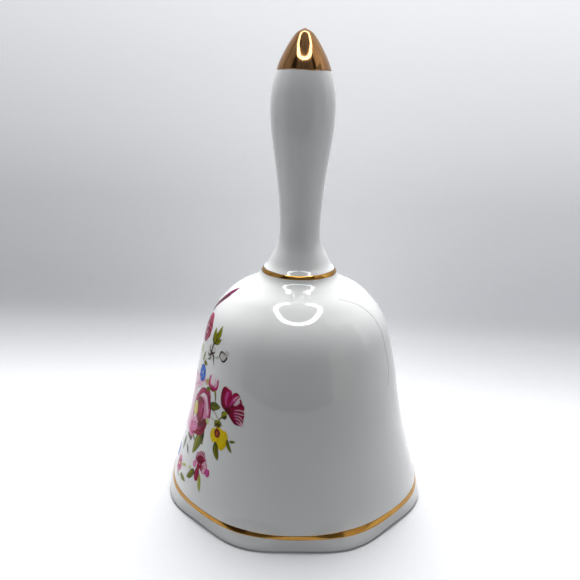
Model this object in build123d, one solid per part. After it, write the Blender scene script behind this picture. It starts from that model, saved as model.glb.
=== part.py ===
from build123d import *
import math
import os

# Hand bell of glazed porcelain: a lobed slip-cast cup, a baluster handle luted
# to its crown, three fired gilt layers, and a bead clapper on a wire chain.
#
# Frame: +Z up the handle, origin at the centre of the plane that the rim
# stands on. The cup has eight shallow flats, which face +X, the diagonal
# between +X and +Y, +Y and so on. The side with the flower spray faces -Y.
# All sizes are in millimetres.

# --- driving dimensions ------------------------------------------------------

HEIGHT = 128.0            # rim to the point of the handle
RIM_RADIUS = 37.7         # mean radius of the lobed rim
CUP_TOP = 65.4            # height of the seat that the handle stands on
SEAT_RADIUS = 10.4        # radius of that seat and of the handle's foot
SEAT_STEP = 0.8           # height of the little step round the seat
SEAT_LEDGE = 0.3          # width of the ledge at the bottom of that step
CAP_EDGE = 117.8          # lower edge of the gilt cap
CAP_RADIUS = 6.9          # radius of the handle at that edge
BAND_HEIGHT = 4.2         # middle of the gilt line above the rim
BAND_WIDTH = 1.3          # width of that line
RING_WIDTH = 1.3          # width of the gilt line round the neck
GILDING = 0.15            # thickness given to the gilt layers

LOBES = 8                 # flats round the rim
LOBE_DEPTH = 0.76         # swing of the lobed radius about its mean
LOBE_FADE = 3.6           # height over which the lobes fade into the round cup
POINTS_PER_LOBE = 6       # points of a section's closed curve, for each lobe

WALL = 2.9                # porcelain wall at the rim
RIM_ROUND_OUT = 0.9       # rounding of the rim's outer edge
RIM_ROUND_IN = 0.6        # rounding of the rim's inner edge
CROWN_HOLE_RADIUS = 4.0   # hole in the crown, filled by the plug
PLUG_BOTTOM = 61.0        # underside of the plug, just proud of the crown
PLUG_TOP = 70.0           # top of the plug, inside the hollow handle
PLUG_ROUND = 0.5          # rounding of the plug's lower edge

WIRE_RADIUS = 0.45        # brass wire of the staple, the links and the eye
BOW_RADIUS = 1.8          # centre-line radius of every wire bow
STAPLE_TOP = 67.5         # upper ends of the staple's legs, inside the plug
STAPLE_BOTTOM = 57.0      # centre line of the staple's bow, the first pivot
LINKS = 4                 # links in the chain
LINK_PITCH = 6.2          # from one pivot to the next
LINK_SLACK = 0.05         # room between two wires that hang in each other

BEAD_RADIUS = 7.3         # clapper bead
BEAD_HEIGHT = 14.0        # between the small flats at its two ends
BEAD_CENTRE = 17.0        # height of the bead's centre
RIVET_RADIUS = 1.2        # upset end of the eye's wire under the bead
RIVET_THICKNESS = 0.8

# Outlines are (radius, height) points on smooth curves, from the bottom up.
CUP_OUTLINE = [
    (RIM_RADIUS, 0.0), (37.1, 3.0), (36.0, 6.0), (34.6, 10.5), (32.8, 17.0),
    (30.2, 28.0), (28.5, 37.5), (26.8, 45.0), (25.0, 51.0), (22.5, 55.4),
    (20.2, 57.98), (18.6, 59.42), (17.0, 60.5), (15.6, 61.22), (13.9, 62.06),
    (12.5, 62.75), (11.5, 63.28), (10.95, 63.8),
    (SEAT_RADIUS + SEAT_LEDGE, CUP_TOP - SEAT_STEP),
]
HOLLOW_OUTLINE = [
    (RIM_RADIUS - WALL, 0.0), (34.2, 3.0), (33.1, 6.0), (31.7, 10.5), (29.9, 17.0),
    (27.3, 28.0), (25.6, 37.5), (23.8, 45.0), (21.4, 50.8), (18.3, 54.9),
    (14.0, 58.2), (9.0, 60.6), (5.0, 61.5),
]
FOOT_EDGE = 0.6           # upright edge of the handle's foot above the seat
HANDLE_OUTLINE = [
    (SEAT_RADIUS, CUP_TOP + FOOT_EDGE), (10.1, 66.35), (9.4, 66.85), (8.75, 67.35),
    (8.1, 68.05), (7.6, 68.9), (7.15, 69.9), (6.6, 71.4), (5.95, 73.5), (5.4, 78.0),
    (5.6, 83.0), (6.3, 90.4), (7.4, 98.0), (8.3, 105.5), (8.4, 109.2), (8.05, 113.0),
    (CAP_RADIUS, CAP_EDGE), (5.7, 120.5), (4.35, 123.3), (2.7, 125.8), (1.5, 127.1),
    (0.0, HEIGHT),
]
CAVITY_OUTLINE = [
    (4.6, CUP_TOP), (4.4, 68.5), (3.3, 73.0), (2.9, 78.0), (3.2, 84.0),
    (4.3, 94.0), (5.7, 105.0), (5.8, 109.5), (4.3, 114.5), (2.2, 116.6), (0.0, 117.2),
]


# --- shapes that several pieces share ----------------------------------------

def lobed_section(radius, height):
    """Face across the cup at one height, with lobes that fade as it rises."""
    depth = LOBE_DEPTH * math.exp(-((height / LOBE_FADE) ** 1.5))
    points = []
    for i in range(POINTS_PER_LOBE * LOBES):
        angle = math.tau * i / (POINTS_PER_LOBE * LOBES)
        r = radius - depth * math.cos(LOBES * angle)
        points.append((r * math.cos(angle), r * math.sin(angle), height))
    return make_face(Spline(*points, periodic=True))


def lobed_solid(outline, grow=0.0):
    """Solid through the lobed sections of an outline, grown sideways."""
    return loft([lobed_section(r + grow, z) for r, z in outline])


def turned_solid(outline):
    """Solid of revolution inside an outline that ends on the axis."""
    points = [(r, 0, z) for r, z in outline]
    foot = (0, 0, outline[0][1])
    rest = Polyline(points[-1], foot, points[0])
    return revolve(make_face([Spline(*points), rest]), Axis.Z)


def disc(radius, low, high):
    """Plain cylinder about the bell's axis between two heights."""
    return Pos(0, 0, (low + high) / 2) * Cylinder(radius, high - low)


def bow(height, facing_up):
    """Half ring of wire in the XZ plane, open downwards if it faces up."""
    half_ring = Torus(BOW_RADIUS, WIRE_RADIUS, major_angle=180, align=None)
    return Pos(0, 0, height) * Rot(90 if facing_up else -90, 0, 0) * half_ring


def legs(low, high):
    """Two straight legs of wire that join a bow's ends."""
    leg = disc(WIRE_RADIUS, low, high)
    return Pos(BOW_RADIUS, 0, 0) * leg + Pos(-BOW_RADIUS, 0, 0) * leg


# --- the pieces ----------------------------------------------------------------

def make_cup():
    """Cup with its crown hole, its seat and its rounded standing rim."""
    cup = lobed_solid(CUP_OUTLINE) - lobed_solid(HOLLOW_OUTLINE)
    cup += disc(SEAT_RADIUS, CUP_TOP - SEAT_STEP, CUP_TOP)
    cup -= disc(CROWN_HOLE_RADIUS, PLUG_BOTTOM - 1, CUP_TOP + 1)
    rim = cup.edges().group_by(Axis.Z)[0].sort_by(SortBy.LENGTH)
    cup = fillet(rim[-1], RIM_ROUND_OUT)
    rim = cup.edges().group_by(Axis.Z)[0].sort_by(SortBy.LENGTH)
    return fillet(rim[0], RIM_ROUND_IN)


def make_handle():
    """Whole outer form of the handle, before its gilt cap and its hollow."""
    return turned_solid(HANDLE_OUTLINE) + disc(SEAT_RADIUS, CUP_TOP, CUP_TOP + FOOT_EDGE)


def make_cap(handle):
    """Gilt skin over the handle's top, from the cap's edge to the point."""
    shrink = 1 - GILDING / CAP_RADIUS
    core = [(r * shrink, CAP_EDGE + (z - CAP_EDGE) * shrink) for r, z in HANDLE_OUTLINE]
    return (handle & disc(RIM_RADIUS, CAP_EDGE, HEIGHT + 1)) - turned_solid(core)


def make_rim_band():
    """Gilt line painted round the lobed skirt, a little above the rim."""
    low = BAND_HEIGHT - BAND_WIDTH / 2
    skirt = CUP_OUTLINE[:6]
    skin = lobed_solid(skirt, GILDING) - lobed_solid(skirt)
    return skin & disc(2 * RIM_RADIUS, low, low + BAND_WIDTH)


def make_neck_ring():
    """Gilt line over the joint between the seat and the handle's foot."""
    low = CUP_TOP + FOOT_EDGE - RING_WIDTH
    ring = disc(SEAT_RADIUS + GILDING, low, low + RING_WIDTH)
    return ring - disc(SEAT_RADIUS, low, low + RING_WIDTH)


def make_plug(cavity):
    """Plaster that fills the crown hole and the bottom of the hollow handle."""
    lower = disc(CROWN_HOLE_RADIUS, PLUG_BOTTOM, CUP_TOP)
    lower = fillet(lower.edges().group_by(Axis.Z)[0], PLUG_ROUND)
    return lower + (cavity & disc(RIM_RADIUS, CUP_TOP, PLUG_TOP))


def make_staple():
    """Wire hoop whose legs are set in the plug and whose bow hangs below."""
    bend = STAPLE_BOTTOM + BOW_RADIUS
    return legs(bend, STAPLE_TOP) + bow(bend, facing_up=False)


def make_link(pivot, turned_across):
    """Chain link that hangs from a pivot, in the YZ plane if turned across."""
    top = pivot + 2 * WIRE_RADIUS + LINK_SLACK - BOW_RADIUS
    bottom = pivot - LINK_PITCH + BOW_RADIUS
    link = bow(top, facing_up=True) + legs(bottom, top) + bow(bottom, facing_up=False)
    return Rot(0, 0, 90) * link if turned_across else link


def make_eye(pivot):
    """Wire eye with a straight stem through the bead, riveted below it."""
    centre = pivot + 2 * WIRE_RADIUS + LINK_SLACK - BOW_RADIUS
    bead_bottom = BEAD_CENTRE - BEAD_HEIGHT / 2
    eye = Pos(0, 0, centre) * Rot(0, 90, 0) * Torus(BOW_RADIUS, WIRE_RADIUS)
    eye += disc(WIRE_RADIUS, bead_bottom, centre - BOW_RADIUS)
    return eye + disc(RIVET_RADIUS, bead_bottom - RIVET_THICKNESS, bead_bottom)


def make_bead():
    """Round bead, flattened at both ends of its bore."""
    bead = Pos(0, 0, BEAD_CENTRE) * Sphere(BEAD_RADIUS)
    bead &= disc(BEAD_RADIUS, BEAD_CENTRE - BEAD_HEIGHT / 2, BEAD_CENTRE + BEAD_HEIGHT / 2)
    return bead - disc(WIRE_RADIUS, 0, 2 * BEAD_CENTRE)


os.makedirs("parts", exist_ok=True)

cup = make_cup()
cavity = turned_solid(CAVITY_OUTLINE)
whole_handle = make_handle()
cap = make_cap(whole_handle)
staple = make_staple()

pieces = {
    "bell_cup": cup,
    "handle": whole_handle - cap - cavity,
    "gilt_cap": cap,
    "gilt_neck_ring": make_neck_ring(),
    "gilt_rim_band": make_rim_band(),
    "crown_plug": make_plug(cavity) - staple,
    "hanger_staple": staple,
    "clapper_eye": make_eye(STAPLE_BOTTOM - LINKS * LINK_PITCH),
    "clapper_bead": make_bead(),
}
for i in range(LINKS):
    pieces[f"chain_link_{i + 1}"] = make_link(STAPLE_BOTTOM - i * LINK_PITCH, i % 2 == 0)

for name, shape in pieces.items():
    export_step(shape, f"parts/{name}.step")
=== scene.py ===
import math

import bpy
import numpy as np
from mathutils import Matrix, Vector


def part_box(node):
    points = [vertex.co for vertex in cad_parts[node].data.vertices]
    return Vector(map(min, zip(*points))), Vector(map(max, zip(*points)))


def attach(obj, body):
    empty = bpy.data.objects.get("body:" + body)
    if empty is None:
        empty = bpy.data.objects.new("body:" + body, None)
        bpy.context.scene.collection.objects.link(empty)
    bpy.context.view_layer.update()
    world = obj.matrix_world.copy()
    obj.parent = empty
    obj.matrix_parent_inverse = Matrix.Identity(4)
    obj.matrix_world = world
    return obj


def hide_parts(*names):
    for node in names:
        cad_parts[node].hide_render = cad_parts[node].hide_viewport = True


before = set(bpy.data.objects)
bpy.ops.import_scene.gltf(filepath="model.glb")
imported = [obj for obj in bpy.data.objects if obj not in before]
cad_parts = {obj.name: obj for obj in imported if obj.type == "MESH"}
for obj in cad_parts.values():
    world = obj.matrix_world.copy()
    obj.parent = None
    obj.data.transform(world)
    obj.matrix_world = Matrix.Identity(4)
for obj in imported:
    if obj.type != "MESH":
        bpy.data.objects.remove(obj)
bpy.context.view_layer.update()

# The visual model of a porcelain hand bell. Shapes are worked out in
# millimetres in the CAD frame and scaled to metres when a mesh is made.
# Angles round the bell are in degrees from -Y, the middle of the painted
# side, and grow towards +X.

MM = 0.001
TURN = math.tau


def box_mm(node):
    """Lowest and highest corners of a CAD node, in millimetres."""
    return [np.array(corner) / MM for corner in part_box(node)]


# --- measures from the frame ---

cap_low, cap_high = box_mm("gilt_cap")
ring_low, ring_high = box_mm("gilt_neck_ring")
band_low, band_high = box_mm("gilt_rim_band")
plug_low, plug_high = box_mm("crown_plug")
staple_low, staple_high = box_mm("hanger_staple")
eye_low, eye_high = box_mm("clapper_eye")
bead_low, bead_high = box_mm("clapper_bead")

CUP_TOP = box_mm("bell_cup")[1][2]
CAP_EDGE, HEIGHT = cap_low[2], cap_high[2]
WIRE_RADIUS = (staple_high[1] - staple_low[1]) / 2
BOW_RADIUS = staple_high[0] - WIRE_RADIUS

# --- outlines as (radius, height), softer at the neck than the CAD ones ---

RIM_RADIUS = 37.7
WALL = 2.9
CUP_OUTLINE = [
    (RIM_RADIUS, 0.0), (37.1, 3.0), (36.0, 6.0), (34.6, 10.5), (32.8, 17.0),
    (30.2, 28.0), (28.5, 37.5), (26.8, 45.0), (25.0, 51.0), (22.5, 55.4),
    (20.2, 57.98), (18.6, 59.42), (17.0, 60.5), (15.6, 61.22), (13.9, 62.06),
    (12.95, 62.6), (12.15, 63.1), (11.6, 63.53),
]
HOLLOW_OUTLINE = [
    (RIM_RADIUS - WALL, 0.0), (34.2, 3.0), (33.1, 6.0), (31.7, 10.5), (29.9, 17.0),
    (27.3, 28.0), (25.6, 37.5), (23.8, 45.0), (21.4, 50.8), (18.3, 54.9),
    (14.0, 58.2), (9.0, 60.6), (5.0, 61.5),
]
HANDLE_OUTLINE = [
    (10.02, 65.95), (9.72, 66.28), (9.3, 66.7), (8.93, 67.12), (8.6, 67.6), (8.28, 68.15),
    (7.95, 68.8), (7.3, 70.1), (6.7, 71.3), (5.98, 73.3), (5.56, 78.0),
    (5.77, 83.0), (6.48, 90.4), (7.56, 98.0), (8.44, 105.5), (8.54, 109.2), (8.24, 113.0),
    (7.12, CAP_EDGE), (6.34, 120.0), (5.36, 122.0), (4.22, 124.0), (2.85, 126.0),
    (1.95, 127.0), (0.0, HEIGHT),
]
CAVITY_OUTLINE = [
    (4.6, CUP_TOP), (4.4, 68.5), (3.3, 73.0), (2.9, 78.0), (3.2, 84.0),
    (4.3, 94.0), (5.7, 105.0), (5.8, 109.5), (4.3, 114.5), (2.2, 116.6), (0.0, 117.2),
]
LOBES = 8
LOBE_DEPTH = 0.76
LOBE_FADE = 3.6


# --- curves ---

def smooth_curve(points, count):
    """Evenly spaced points on a natural cubic spline through a few points."""
    p = np.array(points, float)
    chord = np.linalg.norm(np.diff(p, axis=0), axis=1)
    knots = np.concatenate([[0.0], np.cumsum(chord)])
    n = len(p)
    system = np.eye(n)
    right = np.zeros_like(p)
    for i in range(1, n - 1):
        before, after = chord[i - 1], chord[i]
        system[i, i - 1:i + 2] = before, 2 * (before + after), after
        right[i] = 6 * ((p[i + 1] - p[i]) / after - (p[i] - p[i - 1]) / before)
    bend = np.linalg.solve(system, right)
    fine = np.linspace(0, knots[-1], 12 * count)
    i = np.clip(np.searchsorted(knots, fine) - 1, 0, n - 2)
    h = chord[i][:, None]
    a = (knots[i + 1] - fine)[:, None] / h
    b = 1 - a
    dense = a * p[i] + b * p[i + 1]
    dense += ((a ** 3 - a) * bend[i] + (b ** 3 - b) * bend[i + 1]) * h ** 2 / 6
    run = np.concatenate([[0.0], np.cumsum(np.linalg.norm(np.diff(dense, axis=0), axis=1))])
    even = np.linspace(0, run[-1], count)
    return np.stack([np.interp(even, run, dense[:, k]) for k in range(p.shape[1])], 1)


cup_line = smooth_curve(CUP_OUTLINE, 900)


def lobe(height, azimuth):
    """How far the lobed skirt swings inward at a place, in millimetres."""
    fade = np.exp(-((np.maximum(height, 0) / LOBE_FADE) ** 1.5))
    return LOBE_DEPTH * fade * np.cos(LOBES * np.radians(azimuth - 90))


def wobble(height, azimuth):
    """The slight unevenness that casting and firing leave in the cup."""
    a = np.radians(azimuth)
    oval = 0.05 * np.cos(2 * a + 0.6) + 0.03 * np.cos(3 * a + height / 17)
    waves = 0.012 * np.cos(5 * a - height / 9) + 0.010 * np.cos(7 * a + height / 7)
    return (oval + waves) * np.clip((CUP_TOP - height) / 12, 0, 1)


def cup_radius(height, azimuth):
    """Outer radius of the cup at a height and an azimuth."""
    round_radius = np.interp(height, cup_line[:, 1], cup_line[:, 0])
    return round_radius - lobe(height, azimuth) + wobble(height, azimuth)


def on_axis(radius, height, azimuth):
    """Points at a radius, a height and an azimuth measured from -Y."""
    a = np.radians(azimuth)
    return np.stack(np.broadcast_arrays(radius * np.sin(a), -radius * np.cos(a), height), -1)


def towards(azimuth, away, height):
    """The same for one point, as a vector."""
    return Vector(on_axis(away, height, azimuth))


def hand_wave(azimuth, parts):
    """Sum of sines round the bell, from (amplitude, cycles, phase) parts."""
    a = np.radians(azimuth)
    return sum(size * np.sin(cycles * a + phase) for size, cycles, phase in parts)


# --- meshes ---

def add_mesh(name, points, faces, material):
    """Smooth mesh object from millimetre points."""
    mesh = bpy.data.meshes.new(name)
    mesh.from_pydata((np.asarray(points) * MM).tolist(), [], faces)
    mesh.polygons.foreach_set("use_smooth", [True] * len(mesh.polygons))
    mesh.materials.append(material)
    mesh.validate()
    obj = bpy.data.objects.new(name, mesh)
    bpy.context.scene.collection.objects.link(obj)
    return obj


def make_object(name, points, faces, material, body, slot, nodes=()):
    """Piece of the bell that rides a body and stands in for CAD nodes; the slot is not used."""
    obj = add_mesh(name, points, faces, material)
    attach(obj, body)
    if nodes:
        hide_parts(*nodes)
    return obj


def ring_faces(rows, columns, first=0, closed_rows=False):
    """Quads between rings of points; closed_rows joins the last ring to the first."""
    faces = []
    for i in range(rows if closed_rows else rows - 1):
        j = (i + 1) % rows
        for k in range(columns):
            m = (k + 1) % columns
            faces.append((first + i * columns + k, first + i * columns + m,
                          first + j * columns + m, first + j * columns + k))
    return faces


def closed_rings(grid):
    """Points and faces of a ring-shaped solid, from rows of points round it."""
    rows, columns = grid.shape[:2]
    return grid.reshape(-1, 3), ring_faces(rows, columns, closed_rows=True)


def capped_rings(grid, start, end):
    """Points and faces of rings closed by a pole point at each end."""
    rows, columns = grid.shape[:2]
    points = np.concatenate([grid.reshape(-1, 3), [start], [end]])
    faces = ring_faces(rows, columns)
    south, north = rows * columns, rows * columns + 1
    last = (rows - 1) * columns
    for k in range(columns):
        m = (k + 1) % columns
        faces.append((south, m, k))
        faces.append((north, last + k, last + m))
    return points, faces


def turned_grid(line, columns):
    """Grid of points from turning (radius, height) points about the axis."""
    azimuth = np.linspace(0, 360, columns, endpoint=False)
    return on_axis(line[:, :1], line[:, 1:], azimuth[None, :])


END_BULGE = 0.45          # how far a cut wire end bulges, in wire radii
END_ANGLES = np.radians([75, 50, 25])


def end_rings(path, along, radius):
    """(index, centre, radius) of the rings along a wire with rounded ends."""
    rings = []
    for angle in END_ANGLES:
        bulge = radius * END_BULGE * math.sin(angle)
        rings.append((0, path[0] - along[0] * bulge, radius * math.cos(angle)))
    rings += [(i, path[i], radius) for i in range(len(path))]
    for angle in END_ANGLES[::-1]:
        bulge = radius * END_BULGE * math.sin(angle)
        rings.append((-1, path[-1] + along[-1] * bulge, radius * math.cos(angle)))
    return rings


def tube(path, radius, sides=16):
    """Points and faces of round wire along an open path, with rounded ends."""
    path = np.asarray(path, float)
    along = np.gradient(path, axis=0)
    along /= np.linalg.norm(along, axis=1)[:, None]
    side = np.cross(along[0], (0.31, 0.77, 0.55))
    frames = []
    for direction in along:
        side = side - direction * side.dot(direction)
        side /= np.linalg.norm(side)
        frames.append((side, np.cross(direction, side)))
    turn = np.linspace(0, TURN, sides, endpoint=False)
    rows = []
    for i, centre, r in end_rings(path, along, radius):
        across, up = frames[i]
        rows.append(centre + r * (np.outer(np.cos(turn), across) + np.outer(np.sin(turn), up)))
    start = path[0] - along[0] * radius * END_BULGE
    end = path[-1] + along[-1] * radius * END_BULGE
    return capped_rings(np.array(rows), start, end)


def joined(*solids):
    """One set of points and faces from several."""
    points, faces, first = [], [], 0
    for some_points, some_faces in solids:
        points.append(some_points)
        faces += [tuple(v + first for v in face) for face in some_faces]
        first += len(some_points)
    return np.concatenate(points), faces


def set_attribute(obj, name, kind, values):
    """Stores one value for each vertex under a name that materials can read."""
    field = {"FLOAT": "value", "FLOAT_VECTOR": "vector", "FLOAT_COLOR": "color"}[kind]
    attribute = obj.data.attributes.new(name, kind, "POINT")
    attribute.data.foreach_set(field, np.asarray(values, np.float32).ravel())


# --- materials ---

class Finish:
    """A Principled material and short calls that add nodes to it."""

    def __init__(self, name, **sockets):
        self.material = bpy.data.materials.new(name)
        self.material.use_nodes = True
        self.tree = self.material.node_tree
        self.shader = self.tree.nodes["Principled BSDF"]
        for socket, value in sockets.items():
            self.shader.inputs[socket.replace("_", " ")].default_value = value

    def node(self, kind, **settings):
        """New node; a setting named after an input socket feeds that socket."""
        node = self.tree.nodes.new(kind)
        for name, value in settings.items():
            if hasattr(node, name):
                setattr(node, name, value)
            else:
                self.feed(node.inputs[name.replace("_", " ")], value)
        return node

    def feed(self, socket, value):
        """Links an output to a socket, or sets the socket's number or colour."""
        if isinstance(value, bpy.types.NodeSocket):
            self.tree.links.new(value, socket)
        else:
            socket.default_value = value

    def places(self, scale=(1, 1, 1)):
        """Object coordinates in millimetres, stretched by a scale."""
        coordinates = self.node("ShaderNodeTexCoord").outputs["Object"]
        size = [k / MM for k in scale]
        return self.node("ShaderNodeMapping", Vector=coordinates, Scale=size).outputs[0]

    def attribute(self, name, output="Fac"):
        return self.node("ShaderNodeAttribute", attribute_name=name).outputs[output]

    def noise(self, vector, size, detail=3.0, roughness=0.5):
        """Noise from 0 to 1 whose features are about size millimetres across."""
        noise = self.node("ShaderNodeTexNoise", Vector=vector, Scale=1 / size,
                          Detail=detail, Roughness=roughness)
        return noise.outputs["Fac"]

    def ramp(self, factor, *stops):
        """Colour or grey ramp through (position, colour) stops."""
        node = self.node("ShaderNodeValToRGB", Fac=factor)
        elements = node.color_ramp.elements
        for i, (position, colour) in enumerate(stops):
            element = elements[i] if i < 2 else elements.new(position)
            element.position = position
            grey = isinstance(colour, (int, float))
            element.color = (colour, colour, colour, 1) if grey else (*colour, 1)
        return node.outputs["Color"]

    def mix(self, factor, first, second):
        """Colour between two colours or outputs."""
        node = self.node("ShaderNodeMix", data_type="RGBA")
        self.feed(node.inputs[0], factor)
        self.feed(node.inputs[6], first if not isinstance(first, tuple) else (*first, 1))
        self.feed(node.inputs[7], second if not isinstance(second, tuple) else (*second, 1))
        return node.outputs[2]

    def maths(self, operation, first, second=0.0):
        node = self.node("ShaderNodeMath", operation=operation)
        self.feed(node.inputs[0], first)
        self.feed(node.inputs[1], second)
        return node.outputs[0]

    def scaled(self, colour, factor):
        """A colour times a number that may vary from place to place."""
        node = self.node("ShaderNodeVectorMath", operation="SCALE")
        self.feed(node.inputs[0], colour)
        self.feed(node.inputs["Scale"], factor)
        return node.outputs[0]

    def bump(self, height, depth, normal=None):
        """Bump whose full swing is depth millimetres."""
        node = self.node("ShaderNodeBump", Height=height, Distance=depth * MM, Strength=1.0)
        if normal is not None:
            self.feed(node.inputs["Normal"], normal)
        return node.outputs["Normal"]

    def set(self, **sockets):
        for socket, value in sockets.items():
            self.feed(self.shader.inputs[socket.replace("_", " ")], value)


def glazed(name, tone, body_tone, painted=False):
    """White porcelain under clear glaze, bare where the 'bare' attribute is 1.

    A painted one shows the enamel colours of its 'paint' attribute, with the cover as alpha.
    """
    ior, level = (1.18, 0.3) if painted else (1.52, 0.5)
    finish = Finish(name, IOR=ior, Specular_IOR_Level=level)
    place = finish.places()
    clouds = finish.noise(place, 22.0)
    white = finish.mix(clouds, tone, tuple(0.972 * c for c in tone))
    pits = finish.node("ShaderNodeTexVoronoi", Vector=place, Scale=1 / 5.5).outputs["Distance"]
    specks = finish.ramp(pits, (0.0, 1.0), (0.022, 0.0))
    strong = finish.ramp(finish.noise(place, 9.0, detail=1.0), (0.62, 0.0), (0.7, 1.0))
    speck_mask = finish.maths("MULTIPLY", specks, strong)
    white = finish.mix(speck_mask, white, (0.30, 0.27, 0.24))
    if painted:
        wash = finish.maths("MULTIPLY_ADD", finish.noise(place, 0.7, detail=4.0), 0.5)
        finish.feed(wash.node.inputs[2], 0.75)
        tint = finish.scaled(finish.attribute("paint", "Color"), wash)
        white = finish.mix(finish.attribute("paint", "Alpha"), white, tint)
    bare = finish.attribute("bare")
    grain = finish.noise(place, 0.35, detail=5.0, roughness=0.7)
    biscuit = finish.mix(grain, body_tone, tuple(0.72 * c for c in body_tone))
    tone = finish.mix(bare, white, biscuit)
    # The base colour darkens towards a near-black along the rim's foot: part real grime, part painted
    # contact shadow where the rim meets the floor.
    finish.set(Base_Color=finish.mix(finish.attribute("grime_and_contact_shade"), tone, GRIME_AND_CONTACT_SHADE))
    scuffs = finish.noise(finish.places((0.3, 0.3, 1.6)), 3.0, detail=6.0, roughness=0.65)
    shine = finish.ramp(scuffs, (0.45, 0.035), (0.75, 0.085))
    finish.set(Roughness=finish.mix(bare, shine, (0.78, 0.78, 0.78)))
    ripple = finish.bump(finish.noise(place, 9.0, detail=1.5), 0.012)
    peel = finish.bump(finish.noise(place, 1.1, detail=1.0), 0.0012, ripple)
    gritty = finish.maths("MULTIPLY", grain, bare)
    finish.set(Normal=finish.bump(gritty, 0.06, peel))
    return finish.material


def gilded(name, thin, full, worn_tone, dull):
    """Fired gold, brushed on: streaks along the stroke and thinner, redder patches."""
    finish = Finish(name, Metallic=1.0, IOR=1.5)
    stroke = finish.attribute("stroke", "Vector")
    drawn = finish.node("ShaderNodeMapping", Vector=stroke, Scale=(0.12, 2.2, 1)).outputs[0]
    streaks = finish.noise(drawn, 1.0, detail=5.0, roughness=0.62)
    patches = finish.noise(finish.places(), 4.0, detail=3.0)
    gold = finish.ramp(streaks, (0.28, thin), (0.72, full))
    worn = finish.ramp(patches, (0.5, 0.0), (0.78, 0.55))
    finish.set(Base_Color=finish.mix(worn, gold, worn_tone))
    finish.set(Roughness=finish.ramp(streaks, (0.3, dull), (0.75, 0.6 * dull)))
    finish.set(Normal=finish.bump(streaks, 0.010))
    return finish.material


def plastered():
    """Cast plaster: chalky, with small voids and a rough skin."""
    finish = Finish("plaster", Roughness=0.9, IOR=1.45)
    place = finish.places()
    cloud = finish.noise(place, 2.5, detail=6.0, roughness=0.65)
    finish.set(Base_Color=finish.ramp(cloud, (0.3, (0.62, 0.59, 0.52)), (0.7, (0.80, 0.78, 0.72))))
    voids = finish.node("ShaderNodeTexVoronoi", Vector=place, Scale=1.3).outputs["Distance"]
    dents = finish.bump(finish.ramp(voids, (0.0, 0.0), (0.3, 1.0)), 0.12)
    finish.set(Normal=finish.bump(cloud, 0.10, dents))
    return finish.material


def wire_brass():
    """Drawn brass wire with dull, browner tarnish in patches."""
    finish = Finish("brass_wire", Metallic=1.0, IOR=1.5)
    place = finish.places()
    tarnish = finish.noise(place, 1.8, detail=5.0, roughness=0.6)
    finish.set(Base_Color=finish.ramp(tarnish, (0.35, (0.72, 0.52, 0.22)),
                                      (0.62, (0.60, 0.41, 0.17)), (0.8, (0.30, 0.19, 0.09))))
    finish.set(Roughness=finish.ramp(tarnish, (0.3, 0.24), (0.8, 0.5)))
    scratches = finish.noise(finish.places((4.0, 4.0, 0.5)), 0.5, detail=4.0)
    finish.set(Normal=finish.bump(scratches, 0.02))
    return finish.material


def stained():
    """Tea-coloured stain that has settled in a fine crack of the glaze."""
    finish = Finish("crack_stain", Roughness=0.45, IOR=1.4)
    patches = finish.noise(finish.places(), 1.6, detail=3.0)
    finish.set(Base_Color=finish.ramp(patches, (0.35, (0.20, 0.17, 0.14)), (0.7, (0.46, 0.43, 0.39))))
    return finish.material


GLAZE_WHITE = (0.80, 0.81, 0.80)
BISCUIT = (0.74, 0.71, 0.65)
# Near-black of the line along the bottom of the rim: part grime on the bare foot, part painted contact
# shadow.
GRIME_AND_CONTACT_SHADE = (0.03, 0.024, 0.018)
porcelain = glazed("porcelain_glaze", GLAZE_WHITE, BISCUIT)
enamel_film = glazed("fired_enamel", GLAZE_WHITE, BISCUIT, painted=True)
bead_glaze = glazed("bead_glaze", (0.78, 0.775, 0.75), BISCUIT)
gilding = gilded("gilding", (0.30, 0.15, 0.035), (0.54, 0.30, 0.065), (0.34, 0.155, 0.04), 0.13)
cap_gilding = gilded("cap_gilding", (0.20, 0.10, 0.04), (0.42, 0.23, 0.095),
                     (0.21, 0.09, 0.045), 0.11)
plaster = plastered()
brass = wire_brass()
stain = stained()


# --- cup and handle ---

RIM_ROUND_OUT = 0.9
RIM_ROUND_IN = 0.6
HOLE_RADIUS = 4.0
AROUND = 288              # columns of points round the cup
HANDLE_AROUND = 160       # and round the handle and its gilt cap
CUP_PLAIN_TOP = 56        # below this the cup's outline needs only one row of points in
CUP_PLAIN_STEP = 6        # this many


def arc(centre_r, centre_z, radius, start, end, count):
    """Points on a circular arc in the (radius, height) plane, angles in degrees."""
    a = np.radians(np.linspace(start, end, count))
    return np.stack([centre_r + radius * np.cos(a), centre_z + radius * np.sin(a)], 1)


def above(line, height):
    """The part of an outline at and above a height, cut exactly there."""
    kept = line[line[:, 1] > height]
    foot = (np.interp(height, line[:, 1], line[:, 0]), height)
    return np.concatenate([[foot], kept])


def thinned(line, low, high, step):
    """The outline with only every few points kept between two heights."""
    plain = (line[:, 1] > low) & (line[:, 1] < high)
    return line[~plain | (np.arange(len(line)) % step == 0)]


NECK = smooth_curve([(12.15, 63.1), (11.6, 63.53), (11.2, 63.93), (10.88, 64.35), (10.66, 64.75),
                     (10.53, 65.05), (10.46, 65.25), (10.36, 65.45), (10.15, 65.78),
                     (9.89, 66.1), (9.56, 66.45), (9.21, 66.8)], 80)


def neck_radius(height):
    """Radius of the cove under the handle's foot, filled smooth with glaze."""
    return np.interp(height, NECK[:, 1], NECK[:, 0])


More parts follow.
